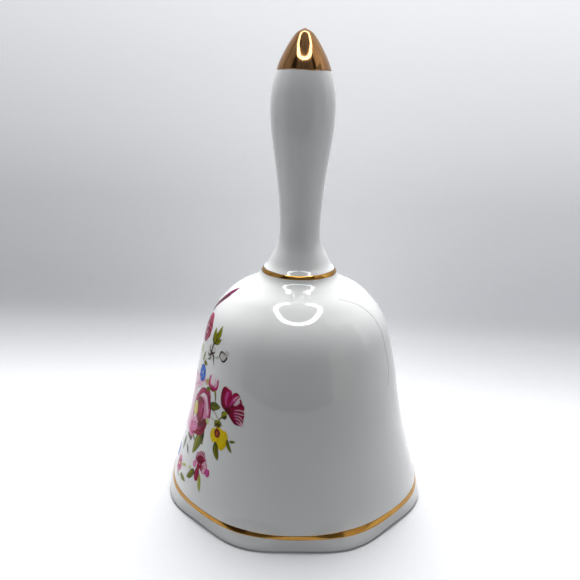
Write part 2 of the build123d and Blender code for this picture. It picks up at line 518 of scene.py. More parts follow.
def make_cup():
    """Glazed cup: crown hole, inside, wiped standing rim, outside, and the seat on top."""
    outside = above(smooth_curve(CUP_OUTLINE, 560), RIM_ROUND_OUT)
    outside = thinned(outside, 0, CUP_PLAIN_TOP, CUP_PLAIN_STEP)
    inside = above(smooth_curve(HOLLOW_OUTLINE, 90), RIM_ROUND_IN)
    foot_out = arc(outside[0, 0] - RIM_ROUND_OUT, RIM_ROUND_OUT, RIM_ROUND_OUT, -90, 0, 9)[:-1]
    foot_in = arc(inside[0, 0] + RIM_ROUND_IN, RIM_ROUND_IN, RIM_ROUND_IN, 180, 270, 7)[1:]
    outside = outside[outside[:, 1] < NECK[0, 1] - 0.04]
    cove = NECK[NECK[:, 1] < CUP_TOP - 0.02]
    seat = np.array([(cove[-1, 0] - 0.1, CUP_TOP), (HOLE_RADIUS + 0.1, CUP_TOP)])
    crown = np.array([(HOLE_RADIUS, CUP_TOP - 0.2), (HOLE_RADIUS, 61.8), (HOLE_RADIUS + 0.3, 61.5)])
    line = np.concatenate([crown, inside[::-1], foot_in, foot_out, outside, cove, seat])
    azimuth = np.linspace(0, 360, AROUND, endpoint=False)[None, :]
    radius, height = line[:, :1], line[:, 1:]
    grid = on_axis(radius - lobe(height, azimuth) + wobble(height, azimuth), height, azimuth)
    cup = make_object("bell_cup_porcelain", *closed_rings(grid), porcelain, "bell",
                      "porcelain", ["bell_cup"])
    on_foot = (line[:, 1] < 0.35).astype(float)
    in_hole = np.arange(len(line)) < len(crown)
    bare = np.repeat(np.maximum(on_foot, in_hole)[:, None], AROUND, axis=1)
    set_attribute(cup, "bare", "FLOAT", bare)
    # Dark line along the lowest outside edge of the rim: part grime on the bare foot, part painted
    # contact shadow against the floor.
    dirt_and_contact_shade = np.interp(line[:, 1], (0.0, 0.05, 0.38, 0.62), (0.9, 0.97, 0.97, 0.0))
    dirt_and_contact_shade *= line[:, 0] > RIM_RADIUS - 1
    dirt_and_contact_shade = dirt_and_contact_shade[:, None] * (0.8 + hand_wave(azimuth, [(0.12, 3, 0.6), (0.08, 11, 2.0)]))
    set_attribute(cup, "grime_and_contact_shade", "FLOAT", dirt_and_contact_shade)


handle_line = smooth_curve(HANDLE_OUTLINE, 1200)


def handle_radius(height):
    return np.interp(height, handle_line[:, 1], handle_line[:, 0])


CAP_SINK = 0.12           # depth of the porcelain's surface under the gilt cap


def make_handle():
    """Hollow baluster handle, from the top of its hollow out to the point."""
    outer = thinned(smooth_curve(HANDLE_OUTLINE, 480), 72, HEIGHT - 4, 3)
    sink = CAP_SINK * np.clip((outer[:, 1:] - CAP_EDGE) / 1.2, 0, 1)
    outer = outer - sink * np.clip(outer / 3.0, 0, 1)
    outer[-1] = (0.0, HEIGHT - CAP_SINK)
    cavity = smooth_curve(CAVITY_OUTLINE, 70)[::-1]
    foot = np.array([(9.5, CUP_TOP + 0.02), (9.8, CUP_TOP + 0.04), (10.12, CUP_TOP + 0.16),
                     (10.16, CUP_TOP + 0.36)])
    line = np.concatenate([cavity[1:], foot, outer[:-1]])
    grid = turned_grid(line, HANDLE_AROUND)
    points, faces = capped_rings(grid, (0, 0, cavity[0, 1]), (0, 0, outer[-1, 1]))
    handle = make_object("handle_porcelain", points, faces, porcelain, "bell",
                         "porcelain", ["handle"])
    bare = np.zeros((len(line), HANDLE_AROUND))
    bare[:len(cavity) + 3] = 1
    set_attribute(handle, "bare", "FLOAT", np.concatenate([bare.ravel(), [1, 0]]))


# --- gilding ---

LIFT = 0.03               # how far the gilt surface stands proud of the glaze


def make_cap():
    """Gilt over the handle's top, with a brushed, slightly uneven lower edge."""
    azimuth = np.linspace(0, 360, HANDLE_AROUND, endpoint=False)[None, :]
    edge = CAP_EDGE + hand_wave(azimuth, [(0.10, 2, 0.4), (0.06, 5, 1.9), (0.03, 13, 0.0)])
    share = np.sin(np.linspace(0.01, math.pi / 2, 60))[:-1, None]
    height = edge + (HEIGHT - edge) * share
    outer = on_axis(handle_radius(height) + LIFT, height, azimuth)
    inner = on_axis(np.maximum(handle_radius(height) - CAP_SINK, 0.01),
                    height - CAP_SINK * share, azimuth)[::-1]
    grid = np.concatenate([inner, outer])
    points, faces = capped_rings(grid, (0, 0, HEIGHT - CAP_SINK), (0, 0, HEIGHT + LIFT))
    cap = make_object("gilt_cap_gold", points, faces, cap_gilding, "bell", "gilding", ["gilt_cap"])
    girth = np.radians(azimuth) * 6.0 + 0 * height
    stroke = np.stack([height * 3, girth * 1.2, 0 * height], -1)
    stroke = np.concatenate([stroke[::-1].reshape(-1, 3), stroke.reshape(-1, 3),
                             [(HEIGHT * 3, 0, 0), (HEIGHT * 3, 0, 0)]])
    set_attribute(cap, "stroke", "FLOAT_VECTOR", stroke)


LINE_SECTION = [(-0.5, -1.0), (-1.0, -0.6), (-0.95, 0.75), (-0.7, 1.0), (0.0, 1.06),
                (0.7, 1.0), (0.95, 0.75), (1.0, -0.6), (0.5, -1.0)]


def gilt_line(name, node, place, middle, half_width, columns):
    """Painted gilt line; place(height, azimuth, lift) lays points on the glaze."""
    azimuth = np.linspace(0, 360, columns, endpoint=False)
    rows, strokes = [], []
    for side, rise in LINE_SECTION:
        height = middle(azimuth) + side * half_width(azimuth)
        rows.append(place(height, azimuth, rise * LIFT))
        strokes.append(np.stack([np.radians(azimuth) * 12, side + 0 * azimuth, 0 * azimuth], 1))
    line = make_object(name, *closed_rings(np.array(rows)), gilding, "bell", "gilding", [node])
    set_attribute(line, "stroke", "FLOAT_VECTOR", np.array(strokes))


def on_cup(height, azimuth, lift):
    """Points lifted off the cup's glaze along its slope."""
    step = 0.05
    slope = (cup_radius(height + step, azimuth) - cup_radius(height - step, azimuth)) / (2 * step)
    length = np.sqrt(1 + slope ** 2)
    return on_axis(cup_radius(height, azimuth) + lift / length, height - lift * slope / length,
                   azimuth)


def on_neck(height, azimuth, lift):
    return on_axis(neck_radius(height) + lift, height, azimuth)


# Where the rim line is fuller, as (added share, azimuth, spread in degrees).
RIM_FULL = [(0.42, 126, 20), (0.12, 285, 30)]


def make_gilt_lines():
    """The line above the rim, fuller on one side, and the line round the neck."""
    band_middle = (band_low[2] + band_high[2]) / 2
    band_half = (band_high[2] - band_low[2]) / 2

    def rim_middle(azimuth):
        return band_middle + hand_wave(azimuth, [(0.10, 1, 0.5), (0.06, 3, 2.0), (0.03, 11, 0.3)])

    def rim_half(azimuth):
        full = sum(more * np.exp(-((azimuth - where) / spread) ** 2)
                   for more, where, spread in RIM_FULL)
        return band_half * (0.84 + full + hand_wave(azimuth, [(0.05, 7, 1.0), (0.03, 17, 0.2)]))

    def neck_middle(azimuth):
        return CUP_TOP + 0.2 + hand_wave(azimuth, [(0.04, 2, 1.0), (0.02, 9, 0.0)])

    def neck_half(azimuth):
        share = 0.8 + hand_wave(azimuth, [(0.06, 3, 0.4), (0.03, 10, 1.1)])
        return (ring_high[2] - ring_low[2]) / 2 * share

    gilt_line("gilt_rim_line", "gilt_rim_band", on_cup, rim_middle, rim_half, 480)
    gilt_line("gilt_neck_line", "gilt_neck_ring", on_neck, neck_middle, neck_half, 240)


# --- what hangs inside ---

def make_plug():
    """Plaster in the crown hole, trowelled a little proud of the porcelain."""
    bottom, top = plug_low[2], plug_high[2]
    line = np.concatenate([
        smooth_curve([(0.4, bottom + 0.12), (2.2, bottom), (3.5, bottom + 0.12),
                      (3.95, bottom + 0.6)], 14),
        [(HOLE_RADIUS, 62.0), (HOLE_RADIUS, CUP_TOP - 0.02), (4.55, CUP_TOP + 0.02)],
        smooth_curve([(4.55, CUP_TOP + 0.6), (4.3, 68.6), (3.85, top - 0.2), (2.4, top)], 16),
    ])
    grid = turned_grid(line, 48)
    a = np.arctan2(grid[..., 1], grid[..., 0])
    rough = 0.05 * np.sin(5 * a + 3 * grid[..., 2]) + 0.04 * np.sin(9 * a - 2 * grid[..., 2])
    grid[..., 2] += rough * (grid[..., 2] < bottom + 0.5)
    points, faces = capped_rings(grid, (0, 0, bottom + 0.15), (0, 0, top))
    make_object("crown_plug_plaster", points, faces, plaster, "bell", "plaster", ["crown_plug"])


def bow_points(centre, start, end, count=26):
    """Points on a wire bow in the XZ plane, angles in degrees from +X."""
    a = np.radians(np.linspace(start, end, count))
    return np.stack([BOW_RADIUS * np.cos(a), 0 * a, centre + BOW_RADIUS * np.sin(a)], 1)


def leg_points(x, start, end, count=8):
    """Points on a straight leg of wire, without its ends."""
    z = np.linspace(start, end, count + 2)[1:-1]
    return np.stack([x + 0 * z, 0 * z, z], 1)


def quarter_turn(points):
    """The same points turned 90 degrees about the bell's axis."""
    points = np.asarray(points)
    return np.stack([-points[:, 1], points[:, 0], points[:, 2]], 1)


def make_staple():
    """Wire hoop with its legs set in the plug."""
    bend = staple_low[2] + WIRE_RADIUS + BOW_RADIUS
    top = staple_high[2] - WIRE_RADIUS * END_BULGE
    path = np.concatenate([
        leg_points(-BOW_RADIUS, top + 0.4, bend), bow_points(bend, 180, 360),
        leg_points(BOW_RADIUS, bend, top + 0.4),
    ])
    make_object("hanger_staple_wire", *tube(path, WIRE_RADIUS), brass, "bell", "wire",
                ["hanger_staple"])


SEAM = 0.07               # gap where the two ends of a link's wire meet


def make_link(number):
    """Bent wire link whose butted ends meet half way up one leg."""
    node = f"chain_link_{number}"
    low, high = box_mm(node)
    upper, lower = high[2] - WIRE_RADIUS - BOW_RADIUS, low[2] + WIRE_RADIUS + BOW_RADIUS
    seam = (upper + lower) / 2 + 0.3 * (-1) ** (number // 2)
    start = [(BOW_RADIUS, 0, seam + SEAM / 2 + WIRE_RADIUS * END_BULGE)]
    end = [(BOW_RADIUS, 0, seam - SEAM / 2 - WIRE_RADIUS * END_BULGE)]
    path = np.concatenate([
        start, leg_points(BOW_RADIUS, start[0][2], upper, 5), bow_points(upper, 0, 180),
        leg_points(-BOW_RADIUS, upper, lower), bow_points(lower, 180, 360),
        leg_points(BOW_RADIUS, lower, end[0][2], 5), end,
    ])
    if high[1] > high[0]:
        path = quarter_turn(path)
    make_object(node + "_wire", *tube(path, WIRE_RADIUS), brass, f"link_{number}", "wire", [node])


def make_eye():
    """Looped eye whose stem runs down through the bead to its riveted end."""
    centre = eye_high[2] - WIRE_RADIUS - BOW_RADIUS
    loop = bow_points(centre, -58, 262, 60)
    bead_bottom = bead_low[2]
    stem_top = centre - BOW_RADIUS
    neck = smooth_curve([loop[-1], (0.0, 0, stem_top - 0.35), (0, 0, stem_top - 1.2)], 12)[1:]
    stem = leg_points(0, stem_top - 1.2, bead_bottom, 24)
    path = quarter_turn(np.concatenate([loop, neck, stem]))
    line = smooth_curve([(0.35, eye_low[2]), (0.9, eye_low[2] + 0.14), (1.18, eye_low[2] + 0.42),
                         (1.05, bead_bottom - 0.12), (0.7, bead_bottom)], 16)
    rivet = capped_rings(turned_grid(line, 32), (0, 0, eye_low[2]), (0, 0, bead_bottom))
    make_object("clapper_eye_wire", *joined(tube(path, WIRE_RADIUS), rivet), brass, "clapper",
                "wire", ["clapper_eye"])


BEAD_AROUND = 112


def make_bead():
    """Glazed bead, with the glaze pulled back round the two ends of its bore."""
    low, high = bead_low[2], bead_high[2]
    middle, radius = (low + high) / 2, bead_high[0]
    bore, flat = WIRE_RADIUS + 0.03, (high - low) / 2
    lip = math.degrees(math.asin((flat - 0.12) / radius))
    ball = arc(0, middle, radius, -lip, lip, 70)
    line = np.concatenate([
        [(bore, low + 0.25), (bore + 0.12, low + 0.05), (bore + 0.5, low)], ball,
        [(bore + 0.5, high), (bore + 0.12, high - 0.05), (bore, high - 0.25)],
    ])
    grid = turned_grid(line, BEAD_AROUND)
    bead = make_object("clapper_bead_porcelain", *closed_rings(grid), bead_glaze, "clapper",
                       "bead", ["clapper_bead"])
    bare = np.zeros((len(line), BEAD_AROUND))
    bare[[0, 1, 2, -3, -2, -1]] = 1
    set_attribute(bead, "bare", "FLOAT", bare)


make_cup()
make_handle()
make_cap()
make_gilt_lines()
make_plug()
make_staple()
for number in range(1, 5):
    make_link(number)
make_eye()
make_bead()


# --- enamel decoration ---

def enamel(red, green, blue):
    """Linear colour from 0-255 screen values."""
    c = np.array([red, green, blue]) / 255
    return np.where(c < 0.04045, c / 12.92, ((c + 0.055) / 1.055) ** 2.4)


CRIMSON = enamel(164, 8, 62)
WINE = enamel(112, 5, 38)
MAGENTA = enamel(196, 26, 104)
PLUM = enamel(104, 26, 66)
ORCHID = enamel(206, 88, 164)
PINK = enamel(232, 142, 184)
SHELL = enamel(244, 200, 218)
BLUSH = enamel(246, 226, 233)
WHITE = enamel(244, 242, 240)
CREAM = enamel(244, 230, 150)
YELLOW = enamel(238, 208, 8)
OCHRE = enamel(222, 184, 8)
AMBER = enamel(206, 140, 14)
ORANGE = enamel(206, 104, 36)
RUSSET = enamel(128, 36, 18)
OLIVE = enamel(146, 148, 10)
MOSS = enamel(66, 70, 6)
LIME = enamel(180, 188, 52)
CELERY = enamel(206, 214, 140)
SAGE = enamel(128, 138, 100)
BLUE = enamel(24, 104, 212)
NAVY = enamel(10, 44, 138)
SKY = enamel(150, 190, 240)
BROWN = enamel(56, 34, 28)
GREY = enamel(166, 160, 152)

# Veins in a petal as (how many, colour, strength).
WHITE_VEINS = (3, WHITE, 0.5)
BROAD_VEINS = (2, WHITE, 0.4)

PETAL = (0.7, 0.36)       # how the width grows from the start and shrinks to the end
LEAF = (0.62, 0.95)
DAB = (0.5, 0.5)
LINE = (0.12, 0.5)
BAND = (0.22, 0.22)

PAINT_STEP = 0.32         # degrees between columns of painted points
PAINT_ROW = 0.18          # millimetres between rows of painted points
PAINT_LEFT, PAINT_RIGHT = -38, 64
PAINT_LOW, PAINT_TOP = 5.8, 61.2
COVER_GAIN = 6            # how soon the film is whole towards a stroke's middle
STROKE_POINTS = 64        # points along a stroke's middle line
STROKE_RIPPLE = 0.05      # unevenness of a stroke's edge, as a share of its width
EDGE_POWER = 2.2          # how closely the edge colour keeps to the edge


def degree_length(height):
    """Millimetres along the glaze for one degree, at a height."""
    return np.interp(height, cup_line[:, 1], cup_line[:, 0]) * math.radians(1)


def spot(centre, clock, reach):
    """Place at a reach in mm from a centre; clock 0 is up, 90 towards larger azimuth."""
    a = math.radians(clock)
    return (centre[0] + reach * math.sin(a) / degree_length(centre[1]),
            centre[1] + reach * math.cos(a))


class Painting:
    """Enamel laid on the cup: colour, cover (0 to 1) and thickness on a fine grid."""

    def __init__(self):
        azimuths = np.arange(PAINT_LEFT, PAINT_RIGHT, PAINT_STEP)
        heights = np.arange(PAINT_LOW, PAINT_TOP, PAINT_ROW)
        self.azimuth, self.height = np.meshgrid(azimuths, heights)
        self.colour = np.zeros(self.azimuth.shape + (3,)) + GLAZE_WHITE
        self.cover = np.zeros(self.azimuth.shape)
        self.depth = np.zeros(self.azimuth.shape)
        self.count = 0

    def stroke(self, path, width, start, end=None, edge=None, shape=PETAL, soft=0.24,
               strength=1.0, veins=None):
        """One brush stroke along a path; width is the half width in millimetres."""
        self.count += 1
        path = np.array(path, float)
        if len(path) > 2:
            line = smooth_curve(path, STROKE_POINTS)
        else:
            line = path[0] + (path[1] - path[0]) * np.linspace(0, 1, STROKE_POINTS)[:, None]
        scale = degree_length(line[:, 1].mean())
        pad = width + 2 * soft
        near = ((self.azimuth > line[:, 0].min() - pad / scale)
                & (self.azimuth < line[:, 0].max() + pad / scale)
                & (self.height > line[:, 1].min() - pad) & (self.height < line[:, 1].max() + pad))
        if not near.any():
            return
        across = (self.azimuth[near][:, None] - line[:, 0]) * scale
        up = self.height[near][:, None] - line[:, 1]
        gap = across ** 2 + up ** 2
        nearest = gap.argmin(1)
        pick = np.arange(len(gap))
        t = nearest / (STROKE_POINTS - 1)
        distance = np.sqrt(gap[pick, nearest])
        way = np.gradient(line, axis=0)[nearest]
        side = np.sign(way[:, 0] * scale * up[pick, nearest] - way[:, 1] * across[pick, nearest])
        grow, shrink = shape
        peak = grow / (grow + shrink)
        top = peak ** grow * (1 - peak) ** shrink
        reach = width * t ** grow * (1 - t) ** shrink / top
        reach = reach * (1 + STROKE_RIPPLE * np.sin(11 * t + 1.7 * self.count + side))
        body = np.clip((reach - distance) / soft + 0.5, 0, 1)
        body = body * body * (3 - 2 * body) * strength
        share = np.clip(distance / np.maximum(reach, 0.01), 0, 1)
        end = start if end is None else end
        colour = start + (end - start) * t[:, None]
        if edge is not None:
            colour = colour + (edge - colour) * (share ** EDGE_POWER)[:, None]
        if veins is not None:
            number, vein, force = veins
            wave = 0.5 + 0.5 * np.cos(math.pi * number * side * share + 0.6 * self.count)
            streak = force * wave ** 4 * np.clip(1.6 * t - 0.3, 0, 1) * np.clip(6 * (1 - t), 0, 1)
            colour = colour + (vein - colour) * streak[:, None]
        self.colour[near] += (colour - self.colour[near]) * body[:, None]
        self.cover[near] = np.maximum(self.cover[near], np.clip(COVER_GAIN * body, 0, 1))
        self.depth[near] = np.maximum(self.depth[near], body * np.sqrt(1 - 0.8 * share ** 2))

    def dab(self, centre, width, tall, colour, edge=None, clock=0, **more):
        """Oval touch of colour: half width and half height in millimetres."""
        if tall >= width:
            half, narrow, way = tall, width, clock
        else:
            half, narrow, way = width, tall, clock + 90
        path = [spot(centre, way + 180, half), spot(centre, way, half)]
        self.stroke(path, narrow, colour, edge=edge, shape=DAB, **more)

    def line(self, path, width, colour, end=None, strength=1.0):
        self.stroke(path, width, colour, end, shape=LINE, soft=0.2, strength=strength)

    def leaf(self, base, tip, width, light=OLIVE, dark=MOSS, bend=0.0, strength=1.0):
        """Pointed leaf with a shaded half and a midrib."""
        middle = ((base[0] + tip[0]) / 2, (base[1] + tip[1]) / 2)
        scale = degree_length(middle[1])
        run = np.array([(tip[0] - base[0]) * scale, tip[1] - base[1]])
        length = np.linalg.norm(run)
        clock = math.degrees(math.atan2(run[0], run[1]))
        middle = spot(middle, clock + 90, bend)
        self.stroke([base, middle, tip], width, dark, light, edge=dark, shape=LEAF, strength=strength)
        mixed = (light + dark) / 2
        for hand, tone in ((-1, mixed), (1, light)):
            half = [spot(base, clock, 0.14 * length),
                    spot(middle, clock + 90, hand * width * 0.42),
                    spot(tip, clock + 180, 0.16 * length)]
            self.stroke(half, width * 0.34, tone, edge=mixed, shape=LEAF, strength=0.8 * strength)
        rib = [base, middle, spot(tip, clock + 180, 0.1 * length)]
        self.line(rib, 0.09, dark, strength=0.9 * strength)

    def flower(self, centre, count, reach, width, start, end, edge, turn=0, veins=None,
               strength=1.0):
        """Ring of open petals round a centre."""
        for i in range(count):
            clock = turn + 360 * i / count
            petal = [spot(centre, clock, 0.12 * reach), spot(centre, clock, reach)]
            self.stroke(petal, width, start, end, edge, veins=veins, strength=strength)


def paint_butterfly_bloom(p):
    """Crimson sweet-pea-like bloom at the right-hand end of the spray."""
    p.stroke([(50.8, 32.6), (47.9, 35.2), (49.2, 38.9)], 1.6, WINE, CRIMSON, WINE)
    p.stroke([(51, 33), (50.2, 36), (51.5, 38.6)], 1.05, CRIMSON, MAGENTA, CRIMSON)
    p.stroke([(50.2, 33.6), (48.9, 36), (50.2, 38)], 0.62, MAGENTA, ORCHID, MAGENTA, strength=0.85)
    p.line([(49.3, 34.3), (49.3, 36.4), (50.6, 38)], 0.1, PINK, ORCHID, strength=0.7)
    p.stroke([(51.3, 32.8), (54.6, 36.2), (57.9, 37.8)], 1.5, WINE, CRIMSON, CRIMSON)
    p.stroke([(52, 33.8), (54.6, 36.4), (56.6, 37.6)], 0.85, ORCHID, MAGENTA, MAGENTA, strength=0.9)
    p.stroke([(51.2, 32.8), (56, 34.4), (61.3, 34.6)], 1.5, WINE, CRIMSON, WINE)
    p.stroke([(51.2, 32.5), (56, 31.9), (61.3, 31.2)], 1.7, WINE, CRIMSON, WINE)
    p.stroke([(51.2, 32.7), (56, 33.1), (61.7, 33.2)], 1.5, WINE, CRIMSON, CRIMSON)
    p.stroke([(54.3, 35), (56.5, 35.8), (58.2, 37.4)], 0.6, SHELL, WHITE, PINK, strength=0.85)
    p.line([(54, 36), (55.6, 37.1), (57.6, 37.7)], 0.12, SHELL, WHITE)
    p.line([(58.2, 37), (59.2, 35.8), (58, 34.9)], 0.3, CRIMSON, WINE)
    for path in ([(55.2, 33.6), (58, 34.1), (60, 34.15), (61.7, 33.8)],
                 [(55, 32.9), (58, 33.2), (60.5, 33.2), (62.3, 33.5)],
                 [(55.4, 32.2), (58.2, 32.45), (60, 32.1), (61.2, 31.4)],
                 [(55.8, 31.5), (58, 31.7), (59.6, 31.3), (60.8, 30.8)],
                 [(57, 31), (58.5, 30.65), (60, 30.1)]):
        p.line(path, 0.15, ORCHID, WHITE)
    p.dab((60.3, 30.6), 0.75, 0.42, SHELL, PINK, clock=60, strength=0.75)
    p.dab((51, 32.9), 1.1, 0.9, WINE * 0.6, WINE)
    p.dab((48.9, 31.3), 1.05, 1.15, MOSS)
    p.stroke([(46.8, 30.3), (48.6, 31.6), (51, 32)], 0.5, OLIVE, LIME, OLIVE, strength=0.8)


def paint_yellow_flower(p):
    """Nodding yellow flower below the stems' meeting point."""
    for centre, width, tall, clock in (((43.4, 24.8), 1.5, 1.95, -8), ((49.8, 24.1), 1.6, 2.3, 12),
                                       ((50.4, 25.8), 1.6, 1.5, 60)):
        p.dab(centre, width, tall, YELLOW, OCHRE, clock, soft=0.45)
    p.dab((46.8, 25.2), 2.0, 2.5, YELLOW, soft=0.45)
    p.line([(46.9, 24.2), (47.1, 23.2), (46.8, 22.4)], 0.16, AMBER, OCHRE, strength=0.6)
    p.line([(48.3, 26.9), (50.6, 26.9), (52.4, 25.9)], 0.14, OCHRE, YELLOW, strength=0.6)
    p.dab((44.9, 28.1), 1.35, 0.85, MOSS)
    p.stroke([(43.1, 26.9), (43.3, 28.1), (44.8, 29)], 0.45, MOSS, OLIVE)
    p.stroke([(48.2, 28), (47, 28.7), (45.2, 29.1)], 0.45, MOSS, OLIVE)
    p.dab((45, 27.3), 0.6, 0.35, AMBER, RUSSET, strength=0.8)
    p.dab((44.4, 24.6), 1.0, 1.2, YELLOW, soft=0.45)
    p.dab((45.7, 25.8), 1.15, 1.25, RUSSET, WINE)
    p.dab((45.6, 25.7), 0.55, 0.62, ORANGE, RUSSET, strength=0.85)
    p.leaf((45.4, 23.4), (49.2, 18.9), 1.1, OLIVE * 0.8, MOSS * 0.8, bend=0.35)
    p.leaf((52.8, 25.5), (56.8, 22.4), 0.62, bend=0.4)
    p.leaf((54.4, 25.1), (58, 25.6), 0.4, bend=0.05)


def paint_stems(p):
    """Fine stems that gather the right-hand flowers."""
    p.line([(49.2, 31.6), (47, 30.2), (45, 29.1), (44.4, 28.4)], 0.25, MOSS, OLIVE)
    p.line([(45.2, 29.4), (42.4, 30.5), (38, 31)], 0.17, OLIVE, MOSS)
    p.line([(45, 29), (42, 28.7), (38.6, 28.9)], 0.16, OLIVE)
    p.dab((36.6, 27.2), 1.0, 0.75, CELERY, LIME, clock=30, strength=0.8)


def paint_rose(p):
    """Large rose in the middle of the spray."""
    p.dab((11, 31.5), 4.6, 3.6, BLUSH, SHELL, clock=-15, strength=0.85)
    p.dab((10, 25.5), 4.4, 3.4, BLUSH, SHELL, clock=20, strength=0.85)
    p.stroke([(4, 28), (5, 33), (13, 35.8)], 1.5, SHELL, PINK, BLUSH, strength=0.8, veins=WHITE_VEINS)
    p.stroke([(5, 27), (4.5, 22.5), (11, 19.8)], 1.4, SHELL, PINK, BLUSH, strength=0.8,
             veins=WHITE_VEINS)
    p.stroke([(11, 32.4), (18, 36), (28.5, 37)], 1.35, BLUSH, PINK, SHELL, shape=BAND,
             veins=BROAD_VEINS)
    p.stroke([(12, 30), (17, 33.6), (26, 35)], 0.9, SHELL, BLUSH, PINK, shape=BAND)
    p.line([(14, 32.8), (20, 34.6), (26.6, 34.9)], 0.2, ORCHID, PINK, strength=0.8)
    p.stroke([(11, 21.6), (17, 20.6), (25, 20.6)], 1.2, SHELL, ORCHID, PINK, shape=BAND)
    p.dab((30.6, 29.8), 3.4, 3.7, PINK, ORCHID, clock=-20)
    p.stroke([(18.5, 28.6), (22.5, 31.8), (28, 34.2), (33, 34.3), (36.8, 31.4), (37.6, 28)], 0.82,
             MAGENTA, CRIMSON, WINE, shape=BAND)
    p.stroke([(31.6, 34.6), (34.4, 35.1), (36.2, 33.4)], 0.55, CRIMSON, WINE)
    p.stroke([(33.8, 35.3), (35.2, 34.9), (36.2, 34.1)], 0.3, MAGENTA, PINK, strength=0.8)
    p.stroke([(25.8, 31.9), (29.6, 33.1), (33.8, 31.6), (35.8, 28.6)], 0.66, BLUSH, SHELL, PINK,
             shape=BAND)
    p.line([(26.6, 32.6), (29.4, 33.3), (32.4, 32.6)], 0.2, WHITE)
    p.line([(36.6, 30.8), (36.9, 29), (35.9, 27.2)], 0.2, PINK, MAGENTA)
    p.stroke([(16, 29.4), (14.6, 25.6), (18.4, 22.4)], 1.4, SHELL, PINK, BLUSH, shape=BAND,
             veins=BROAD_VEINS)
    p.stroke([(20.4, 31.6), (18.2, 27.6), (20.6, 22.6)], 0.5, CRIMSON, MAGENTA, CRIMSON, shape=BAND)
    p.dab((27, 28.4), 2.75, 3.5, CRIMSON, WINE, clock=4)
    p.stroke([(20.4, 29.2), (24.4, 31.2), (31.4, 31)], 0.55, WINE, WINE, CRIMSON)
    p.stroke([(29.6, 26), (28.8, 28.4), (30.8, 30.8)], 0.55, MAGENTA, ORCHID, CRIMSON)
    p.stroke([(31.4, 26.2), (32.6, 28.6), (31.8, 31)], 0.42, ORCHID, SHELL, MAGENTA)
    p.line([(27, 26.4), (26.2, 28.6), (27.4, 30.6)], 0.14, MAGENTA, ORCHID, strength=0.8)
    p.stroke([(25, 28), (27.6, 25.6), (31.4, 25)], 1.15, CRIMSON, WINE)
    p.stroke([(22.4, 21.4), (28, 22.3), (33, 24.4), (35.6, 27)], 1.3, CRIMSON, WINE, CRIMSON)
    p.stroke([(24.6, 23.4), (29.6, 24.6), (34.6, 27.2)], 0.7, WINE)
    p.line([(24.6, 22.5), (29, 23.3), (34, 25.5)], 0.13, ORCHID, CRIMSON, strength=0.8)
    p.stroke([(17, 22.6), (21.4, 22.1), (27.4, 24)], 1.3, ORCHID, PINK, MAGENTA, veins=WHITE_VEINS)
    p.stroke([(18, 24.6), (22, 24.2), (25.4, 25.4)], 0.75, PINK, SHELL, ORCHID)
    p.line([(18.4, 20.8), (22.4, 20.6), (27, 21.4)], 0.3, MAGENTA, CRIMSON, strength=0.8)
    p.dab((20.9, 27.4), 1.75, 2.05, CREAM, enamel(196, 190, 120), clock=-10)
    p.dab((22, 27.5), 0.9, 1.4, YELLOW * 0.9, CREAM, clock=-10, strength=0.6)
    for clock in range(20, 160, 22):
        p.dab(spot((21.2, 27.4), clock, 1.15), 0.16, 0.16, AMBER, ORANGE)
    p.line([(18.7, 29), (18, 27.2), (19.3, 25.4)], 0.28, SAGE, OLIVE, strength=0.7)


def paint_bud(p):
    """Small pink bud above the rose, with its stem and dark leaf."""
    p.dab((37.2, 38.8), 0.95, 1.4, WHITE, BLUSH)
    p.stroke([(33.2, 39.9), (33.5, 37.6), (36.8, 36.6), (40.3, 37.6), (41, 39.7)], 0.85, MAGENTA, MAGENTA,
             CRIMSON, shape=(0.45, 0.45))
    for path in ([(34.2, 39.9), (33.9, 38.4), (35.4, 37.2)], [(39.9, 39.9), (40.2, 38.4), (38.8, 37.2)]):
        p.stroke(path, 0.3, PINK, SHELL)
    p.line([(34.6, 37.4), (36.8, 37), (39.2, 37.5)], 0.13, PINK, ORCHID)
    for azimuth in (36.1, 38.2):
        p.line([(azimuth, 37.2), (azimuth + 0.2, 38.6), (azimuth + 0.1, 39.9)], 0.11, MAGENTA, PINK,
               strength=0.8)
    p.dab((36.8, 36.3), 1.5, 0.35, CRIMSON, WINE)
    p.leaf((31, 35.1), (35.4, 36.5), 0.7, bend=0.1)
    p.stroke([(39.2, 36.4), (40.6, 35), (41, 33.4)], 0.42, OLIVE, MOSS, shape=LINE)
    p.leaf((37, 31.6), (45.8, 32.9), 1.2, OLIVE * 0.75, MOSS * 0.75, bend=-0.15)
    p.dab((30.8, 37.2), 0.95, 0.8, ORANGE, AMBER, clock=35, strength=0.7)
    p.stroke([(29.4, 36), (30.8, 37.6), (32.2, 38.2)], 0.4, OLIVE, LIME, strength=0.8)


def paint_blue_flower(p, centre, reach, turn, strength=1.0):
    """Small bright blue flower with five petals and pale touches of light."""
    p.flower(centre, 5, reach, 0.52 * reach, BLUE, BLUE, NAVY, turn, strength=strength)
    p.dab(centre, 0.42 * reach, 0.42 * reach, BLUE, strength=strength)
    for i in range(5):
        clock = turn + 72 * i
        light = [spot(centre, clock, 0.3 * reach), spot(centre, clock + 8, 0.8 * reach)]
        p.stroke(light, 0.11 * reach, SKY, BLUE, strength=0.8 * strength)
    p.dab(spot(centre, 60, 0.12 * reach), 0.14 * reach, 0.14 * reach, CREAM, SKY, strength=strength)


